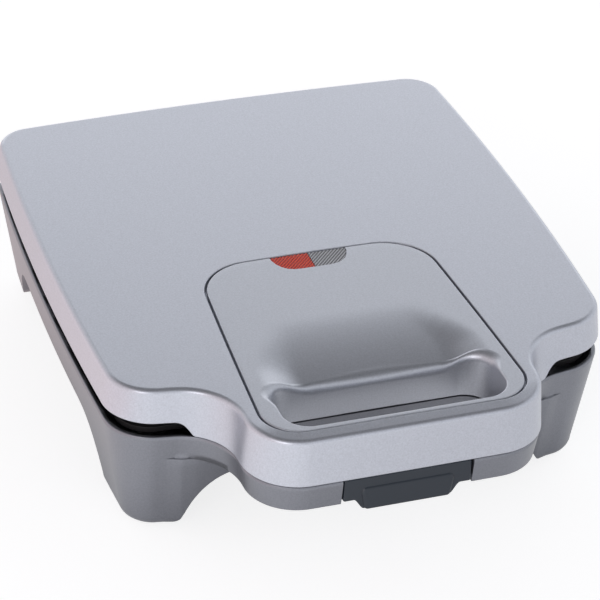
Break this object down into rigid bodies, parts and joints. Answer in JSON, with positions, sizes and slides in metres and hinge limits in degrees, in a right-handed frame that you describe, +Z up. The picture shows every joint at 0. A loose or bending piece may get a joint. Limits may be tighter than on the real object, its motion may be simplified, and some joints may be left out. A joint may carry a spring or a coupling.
{
  "type": "sandwich toaster",
  "caption": "Large sandwich toaster: hinged lid over a base on four moulded legs, hotplates with triangular pockets, looped carry handle, signal lamps and front latch.",
  "frame": {"origin": "middle of the footprint, on the table under the rubber feet", "axes": "+X to the user's right, +Y from the handle to the hinge, +Z up"},
  "size_m": [0.2738, 0.3405, 0.0925],
  "materials": {
    "silver_base": "metallic-painted moulding",
    "silver_lid": "metallic-painted moulding",
    "silver_insert": "metallic-painted moulding",
    "rubber": "matt",
    "anthracite": "satin",
    "black_plastic": "fine texture",
    "nonstick": "non-stick coating",
    "element_steel": "heat-tinted",
    "tinned_sheet": "rolled",
    "ceramic": "steatite",
    "zinc_steel": "zinc plate",
    "pin_steel": "ground",
    "red_lens": "clear red",
    "clear_lens": "clear",
    "lamp_glass": "clear"
  },
  "bodies": {
    "base": {"base_shell": "silver_base", "rubber_feet": "rubber", "base_frame": "black_plastic", "lower_plate": "nonstick", "lower_element": "element_steel", "lower_reflector": "tinned_sheet", "thermostat": "ceramic", "terminal_block": "ceramic", "cord_bush": "rubber", "base_frame_screws": "zinc_steel", "lower_plate_screws": "zinc_steel", "hinge_brackets": "black_plastic", "bracket_screws": "zinc_steel", "hinge_pins": "pin_steel", "latch_carrier": "black_plastic", "carrier_screws": "zinc_steel", "latch_pin": "pin_steel"},
    "latch": {"latch": "anthracite"},
    "lid": {"lid_shell": "silver_lid", "handle_insert": "silver_insert", "power_lens": "red_lens", "ready_lens": "clear_lens", "lamp_holder": "black_plastic", "signal_lamps": "lamp_glass", "lid_frame": "black_plastic", "upper_plate": "nonstick", "upper_element": "element_steel", "upper_reflector": "tinned_sheet", "hinge_arms": "black_plastic", "arm_screws": "zinc_steel", "lid_frame_screws": "zinc_steel", "upper_plate_screws": "zinc_steel"}
  },
  "joints": [
    {"name": "lid_hinge", "type": "hinge", "parent": "base", "child": "lid", "pos_m": [0, 0.16315, 0.0652], "axis": [-1, 0, 0], "range_deg": [0, 100]},
    {"name": "latch_pivot", "type": "hinge", "parent": "base", "child": "latch", "pos_m": [0, -0.16185, 0.0608], "axis": [-1, 0, 0], "range_deg": [0, 12]}
  ]
}
